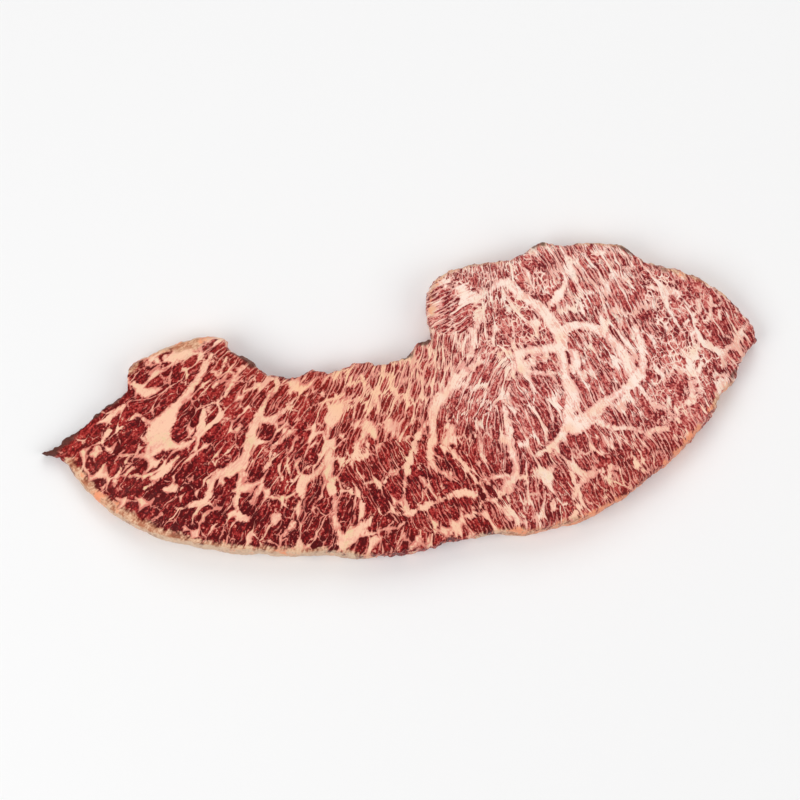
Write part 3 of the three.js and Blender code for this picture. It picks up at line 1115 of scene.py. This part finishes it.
    def _marbling(self, flesh: Flesh) -> Marbling:
        """Lays the seams, the nets and the strands of fat over each other.

        Args:
            flesh: what is known of the place.

        Returns:
            How fat and lean lie there.
        """
        graph = flesh.graph
        bundles, kernels, grains = (net.cast(flesh) for net in (self.bundles, self.kernels, self.grains))
        seam = graph.attribute(Mark.SEAM) + kernels.tone * self.seam_pull + flesh.sum(self.seam_wander)
        strands = flesh.across * (1 / self.strand) + flesh.sum(self.strand_wander)
        strand_line = graph.maths("PINGPONG", strands, 0.5)
        strand = (flesh.sum(self.strand_gap) - strand_line).rise(self.strand_edge)
        fatness = seam.rise(self.seam_edge) | bundles.share * flesh.sum(self.bundle_share)
        fatness = fatness | kernels.share * flesh.sum(self.kernel_share) | grains.share
        fatness = fatness | strand * flesh.sum(self.strand_share)
        fatness = fatness | flesh.mask(self.specks) * self.speck_share
        richness = seam.rise(self.seam_core) | bundles.thickness | kernels.thickness | grains.thickness
        beside = seam.rise(self.beside_seam)
        beside = beside | bundles.depth.rise(self.beside_net) | kernels.depth.rise(self.beside_net)
        shade = flesh.sum(self.lean_shade) + flesh.streak * flesh.sum(self.streak_shade)
        shade = shade + bundles.tint + kernels.tint + grains.tint - beside * self.beside_shade
        shade = shade + (self.strand_middle - strand_line) * self.strand_tint + (flesh.pallor & 0.0)
        return Marbling(fatness, richness, shade)

    def _lean(self, flesh: Flesh, marbling: Marbling) -> Socket:
        """Colours the lean, dark in the tail and the band and paler in the eye.

        Args:
            flesh: what is known of the place.
            marbling: how fat and lean lie there.

        Returns:
            The lean's colour.
        """
        graph = flesh.graph
        orange = flesh.warmth * flesh.sum(self.orange_share)
        band = graph.blend(orange, self.band_lean.at(marbling.shade), self.orange_lean)
        return graph.blend(flesh.mask(self.in_eye), band, self.eye_lean.at(marbling.shade))

    def _fat(self, flesh: Flesh, marbling: Marbling) -> Socket:
        """Colours the fat, pink where it is thin and cream, orange, straw or rosy where it is thick.

        Args:
            flesh: what is known of the place.
            marbling: how fat and lean lie there.

        Returns:
            The fat's colour.
        """
        graph = flesh.graph
        thick = graph.blend(flesh.mask(self.pale), self.cream, self.pale_cream)
        thick = graph.blend(flesh.mask(self.orange), thick, self.orange_fat)
        straw = flesh.mask(self.straw) * flesh.sum(self.straw_share)
        thick = graph.blend(straw, thick, self.straw_fat)
        thick = graph.blend(flesh.mask(self.rosy) * self.rosy_share, thick, self.rosy_fat)
        thin = graph.blend(flesh.pallor.rise(self.pale_from), self.pink, self.pale_pink)
        return graph.blend(flesh.mask(self.creamy, marbling.richness * self.creamy_core), thin, thick)

    def _rind(self, flesh: Flesh) -> Socket:
        """Colours the fat edge, grey-white where the skin faces sideways, with salmon patches.

        Args:
            flesh: what is known of the place.

        Returns:
            The rind's colour.
        """
        graph = flesh.graph
        rind = graph.blend(flesh.mask(self.clean), self.rind_shade, self.rind)
        side_grey = graph.attribute(Mark.WALL) * flesh.sum(self.side_grey_share)
        rind = graph.blend(side_grey, rind, self.side_grey)
        return graph.blend(flesh.mask(self.salmon), rind, self.warm_rind)

    def _surface(self, flesh: Flesh, marbling: Marbling, skin: Socket, dry: Signal) -> None:
        """Adds the shader, with its relief, its moist places and the rougher dark brown patches along the
        edge.

        Args:
            flesh: what is known of the place.
            marbling: how fat and lean lie there.
            skin: the colour there.
            dry: how much of the dark brown edge colour lies there, from 0 to 1.
        """
        graph = flesh.graph
        roughness = self.roughness + marbling.fatness * self.fat_roughness + dry * self.dark_edge_roughness
        roughness = roughness + graph.draw(flesh.place, self.moisture) * self.moist_roughness
        relief = {
            "Strength": self.relief_strength,
            "Distance": self.relief_height * MM,
            "Height": marbling.fatness * self.fat_relief + flesh.sum(self.relief),
        }
        values = {
            "Base Color": skin,
            "Roughness": roughness,
            "Normal": graph.node("ShaderNodeBump", {}, relief).outputs["Normal"],
            "IOR": self.refraction,
            "Specular IOR Level": self.shine,
        }
        shader = graph.node("ShaderNodeBsdfPrincipled", {}, values)
        graph.node("ShaderNodeOutputMaterial", {}, {"Surface": shader.outputs["BSDF"]})


@dataclass
class SteakSlice:
    """The slice of beef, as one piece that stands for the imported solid.

    Lengths are in millimetres, and tilts tell how much a part of the skin faces up or down, from 0 for
    the edge to 1 for the cut face.
    """

    node: str = "steak"
    body: str = "root"
    slot: str = "meat"
    merge_gap: float = 0.01
    flat_angle: float = 50.0
    smoothing_levels: int = 2
    edge_tilt: Span = (0.3, 0.85)
    wall_tilt: Span = (0.3, 0.75)
    face_tilt: Span = (0.35, 0.9)
    notches: Ripples = Ripples(0.85, 2.6, 3.1)
    fine_notches: Ripples = Ripples(0.51, 2.6 / 2.2, 7.7)
    notch_upright: float = 0.6
    rind_evenness: float = 0.55
    rind_edge: Span = (-1.5, 0.5)
    rind_back: Span = (-25.0, -10.0)
    seam_rise: float = 0.14
    seam_edge: Span = (-0.6, 0.8)
    ridge_rise: float = 0.08
    ridge_spacing: float = 1.9
    ridge_edge: Span = (-0.4, 0.6)
    ridge_wander: Ripples = Ripples(2.5, 7.0, 5.0)
    swell: Ripples = Ripples(0.16, 5.0, 1.9)
    grainy_edge: Span = (-3.0, 3.0)
    finish: BeefFinish = BeefFinish()

    def build(self) -> bpy.types.Object:
        """Makes the piece, dresses it and seats it on the frame.

        Returns:
            The finished object.
        """
        piece = self._smooth_copy()
        points = read_rows(piece.data, "co") / MM
        normals = read_rows(piece.data, "normal")
        points += self._edge_notches(points, normals)
        points[:, 2] += self._face_relief(points, normals)
        np.maximum(points[:, 2], 0, out=points[:, 2])
        piece.data.vertices.foreach_set("co", (points * MM).ravel())
        piece.data.update()
        self._mark(piece.data)
        piece.data.materials.clear()
        piece.data.materials.append(self.finish.build())
        piece.data.shade_smooth()
        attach(piece, self.body)
        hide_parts(self.node)
        return piece

    def _smooth_copy(self) -> bpy.types.Object:
        """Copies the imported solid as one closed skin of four-sided faces, rounded twice over.

        Returns:
            The copy.
        """
        skin = bmesh.new()
        skin.from_mesh(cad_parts[self.node].data)
        bmesh.ops.remove_doubles(skin, verts=skin.verts, dist=self.merge_gap * MM)
        bmesh.ops.join_triangles(
            skin,
            faces=skin.faces,
            angle_face_threshold=math.radians(self.flat_angle),
            angle_shape_threshold=math.pi,
        )
        bmesh.ops.recalc_face_normals(skin, faces=skin.faces)
        coarse = bpy.data.meshes.new("slice_coarse")
        skin.to_mesh(coarse)
        skin.free()
        rounded = bpy.data.objects.new("slice_coarse", coarse)
        bpy.context.scene.collection.objects.link(rounded)
        rounding = rounded.modifiers.new("rounding", "SUBSURF")
        rounding.levels = self.smoothing_levels
        rounding.render_levels = self.smoothing_levels
        shown = rounded.evaluated_get(bpy.context.evaluated_depsgraph_get())
        mesh = bpy.data.meshes.new_from_object(shown)
        mesh.name = "slice"
        bpy.data.objects.remove(rounded)
        piece = bpy.data.objects.new("sirloin_slice", mesh)
        bpy.context.scene.collection.objects.link(piece)
        return piece

    def _edge_notches(self, points: np.ndarray, normals: np.ndarray) -> np.ndarray:
        """Roughens the edge, less along the rind at the front.

        Args:
            points: x, y and z of each point, one row each.
            normals: the direction that the skin faces there.

        Returns:
            How far each point moves.
        """
        on_edge = 1 - smooth_step(np.abs(normals[:, 2]), self.edge_tilt)
        outward = normals * np.array([1, 1, 0])
        outward /= np.linalg.norm(outward, axis=1, keepdims=True) + TINY
        upright = points * np.array([1, 1, self.notch_upright])
        notch = self.notches.at(upright) + self.fine_notches.at(upright)
        rind = smooth_step(SeamMap(RIND_SEAMS).depth(points[:, :2]), self.rind_edge)
        rind *= 1 - smooth_step(points[:, 1], self.rind_back)
        return outward * (on_edge * (1 - self.rind_evenness * rind) * notch)[:, None]

    def _face_relief(self, points: np.ndarray, normals: np.ndarray) -> np.ndarray:
        """Raises the fat and the ridges of the fibres on the upper cut face.

        Args:
            points: x, y and z of each point, one row each.
            normals: the direction that the skin faces there.

        Returns:
            How far each point rises.
        """
        depth = SeamMap(*FAT_SEAMS, RIND_SEAMS).depth(points[:, :2])
        across = self._fibre_places(points[:, :2])[:, 0]
        ridges = np.sin(2 * math.pi * across / self.ridge_spacing + self.ridge_wander.at(points))
        lift = self.seam_rise * smooth_step(depth, self.seam_edge)
        lift += self.ridge_rise * ridges * (1 - smooth_step(depth, self.ridge_edge))
        lift += self.swell.at(points)
        return lift * smooth_step(normals[:, 2], self.face_tilt)

    def _mark(self, mesh: bpy.types.Mesh) -> None:
        """Writes on the mesh what its finish needs to know of each place.

        Args:
            mesh: the slice's mesh.
        """
        places = read_rows(mesh, "co")[:, :2] / MM
        upright = np.abs(read_rows(mesh, "normal")[:, 2])
        scraps = SeamMap(LEAN_SCRAPS).depth(places)
        marks = {
            Mark.SEAM: np.minimum(SeamMap(*FAT_SEAMS).depth(places), -scraps),
            Mark.RIND: SeamMap(RIND_SEAMS).depth(places),
            Mark.DRYNESS: SeamMap(DARK_EDGES).depth(places),
            Mark.GRAINY: smooth_step(SeamMap(GRAINY_FLESH).depth(places), self.grainy_edge),
            Mark.WALL: 1 - smooth_step(upright, self.wall_tilt),
        }
        for mark in (Mark.FAT, Mark.WARMTH, Mark.PALLOR):
            marks[mark] = regional(places, mark.value)
        for mark, values in marks.items():
            layer = mesh.attributes.new(mark.value, "FLOAT", "POINT")
            layer.data.foreach_set("value", values.astype(np.float32))
        self._mark_grain(mesh, places)

    def _mark_grain(self, mesh: bpy.types.Mesh, places: np.ndarray) -> None:
        """Lays a map along the fibres, whose two parts run across them and along them.

        Args:
            mesh: the slice's mesh.
            places: x and y of each of its points, in millimetres, one row each.
        """
        corners = np.empty(len(mesh.loops), dtype=np.int32)
        mesh.loops.foreach_get("vertex_index", corners)
        starts = np.empty(len(mesh.polygons), dtype=np.int32)
        counts = np.empty(len(mesh.polygons), dtype=np.int32)
        mesh.polygons.foreach_get("loop_start", starts)
        mesh.polygons.foreach_get("loop_total", counts)
        centres = np.add.reduceat(places[corners], starts, axis=0) / counts[:, None]
        grain = self._fibre_places(places)[corners]
        for patch in GRAIN_PATCHES:
            turn = math.radians(patch.slant)
            dx, dy = centres[:, 0] - patch.x, centres[:, 1] - patch.y
            long = (dx * math.cos(turn) + dy * math.sin(turn)) / patch.length
            wide = (dy * math.cos(turn) - dx * math.sin(turn)) / patch.width
            inside = np.repeat(np.hypot(long, wide) < 1, counts)
            lie = math.radians(patch.fibres)
            x, y = places[corners[inside]].T
            along = x * math.cos(lie) + y * math.sin(lie)
            across = x * math.sin(lie) - y * math.cos(lie)
            grain[inside] = np.column_stack([across, along])
        layer = mesh.uv_layers.new(name=Mark.GRAIN.value)
        layer.data.foreach_set("uv", (grain / MAP_UNIT).astype(np.float32).ravel())

    @staticmethod
    def _fibre_places(places: np.ndarray) -> np.ndarray:
        """Finds places in the fan of fibres.

        Args:
            places: x and y of each place, in millimetres, one row each.

        Returns:
            Millimetres across the fibres and along them, one row each.
        """
        dx = places[:, 0] - FAN_CENTRE[0]
        dy = FAN_CENTRE[1] - places[:, 1]
        return np.column_stack([FAN_RADIUS * np.arctan2(dx, dy), np.hypot(dx, dy)])


@dataclass(frozen=True)
class SoftLight:
    """One large soft lamp.

    Args:
        name: what it is called.
        azimuth: its direction from the slice, in degrees, with 0 in front and 90 at the right.
        elevation: its height above the floor, in degrees.
        power: its power in watts.
    """

    name: str
    azimuth: float
    elevation: float
    power: float


@dataclass
class Studio:
    """A plain pale floor, soft lamps and the camera.

    Lengths are in metres and angles in degrees.
    """

    floor_size: float = 6.0
    floor_tone: float = 0.93
    floor_roughness: float = 0.9
    world_tone: float = 0.42
    lamp_distance: float = 1.1
    lamp_size: float = 0.7
    lamps: tuple[SoftLight, ...] = (
        SoftLight("key", -60, 48, 5.0),
        SoftLight("fill", 70, 42, 3.0),
        SoftLight("back", 175, 50, 3.0),
    )
    camera_elevation: float = 80.0
    camera_distance: float = 0.8667
    camera_reach: float = 20.0
    aim_height: float = 0.007
    focal_length: float = 100.0
    sensor_width: float = 36.0

    def build(self) -> None:
        """Makes the floor, the lamps, the world and the camera."""
        self._floor()
        self._world()
        for lamp in self.lamps:
            self._lamp(lamp)
        self._camera()
        settings = bpy.context.scene.view_settings
        settings.view_transform = "Standard"
        settings.look = "None"

    def _floor(self) -> None:
        """Makes the floor under the slice."""
        sheet = bmesh.new()
        bmesh.ops.create_grid(sheet, x_segments=1, y_segments=1, size=self.floor_size / 2)
        mesh = bpy.data.meshes.new("floor")
        sheet.to_mesh(mesh)
        sheet.free()
        floor = bpy.data.objects.new("floor", mesh)
        bpy.context.scene.collection.objects.link(floor)
        graph = Graph("pale_floor")
        tone = (self.floor_tone, self.floor_tone, self.floor_tone, 1.0)
        values = {"Base Color": tone, "Roughness": self.floor_roughness}
        shader = graph.node("ShaderNodeBsdfPrincipled", {}, values)
        graph.node("ShaderNodeOutputMaterial", {}, {"Surface": shader.outputs["BSDF"]})
        mesh.materials.append(graph.material)

    def _world(self) -> None:
        """Gives the room its even white light."""
        world = bpy.data.worlds.new("studio")
        world.use_nodes = True
        background = world.node_tree.nodes["Background"]
        background.inputs["Color"].default_value = (1.0, 1.0, 1.0, 1.0)
        background.inputs["Strength"].default_value = self.world_tone
        bpy.context.scene.world = world

    def _lamp(self, lamp: SoftLight) -> None:
        """Hangs one lamp, turned to the slice.

        Args:
            lamp: the lamp to hang.
        """
        light = bpy.data.lights.new(lamp.name, "AREA")
        light.shape = "SQUARE"
        light.size = self.lamp_size
        light.energy = lamp.power
        holder = bpy.data.objects.new(lamp.name, light)
        away = self._direction(lamp.azimuth, lamp.elevation)
        holder.location = away * self.lamp_distance
        holder.rotation_euler = away.to_track_quat("Z", "Y").to_euler()
        bpy.context.scene.collection.objects.link(holder)

    def _camera(self) -> None:
        """Sets the camera where the slice is seen nearly from above."""
        lens = bpy.data.cameras.new("camera")
        lens.lens = self.focal_length
        lens.sensor_width = self.sensor_width
        lens.clip_end = self.camera_reach
        camera = bpy.data.objects.new("camera", lens)
        away = self._direction(0, self.camera_elevation)
        camera.location = Vector((0, 0, self.aim_height)) + away * self.camera_distance
        camera.rotation_euler = away.to_track_quat("Z", "Y").to_euler()
        bpy.context.scene.collection.objects.link(camera)
        bpy.context.scene.camera = camera

    @staticmethod
    def _direction(azimuth: float, elevation: float) -> Vector:
        """Returns the direction from the slice, with azimuth 0 in front of it."""
        turn, rise = math.radians(azimuth), math.radians(elevation)
        return Vector((math.sin(turn) * math.cos(rise), -math.cos(turn) * math.cos(rise), math.sin(rise)))


def main() -> None:
    """Builds the slice and the studio in order."""
    logging.basicConfig(level=logging.INFO, format="%(name)s: %(message)s")
    Studio().build()
    log.info("studio ready")
    piece = SteakSlice().build()
    piece.data.calc_loop_triangles()
    log.info("%s: %d triangles", piece.name, len(piece.data.loop_triangles))


if __name__ == "__main__":
    main()
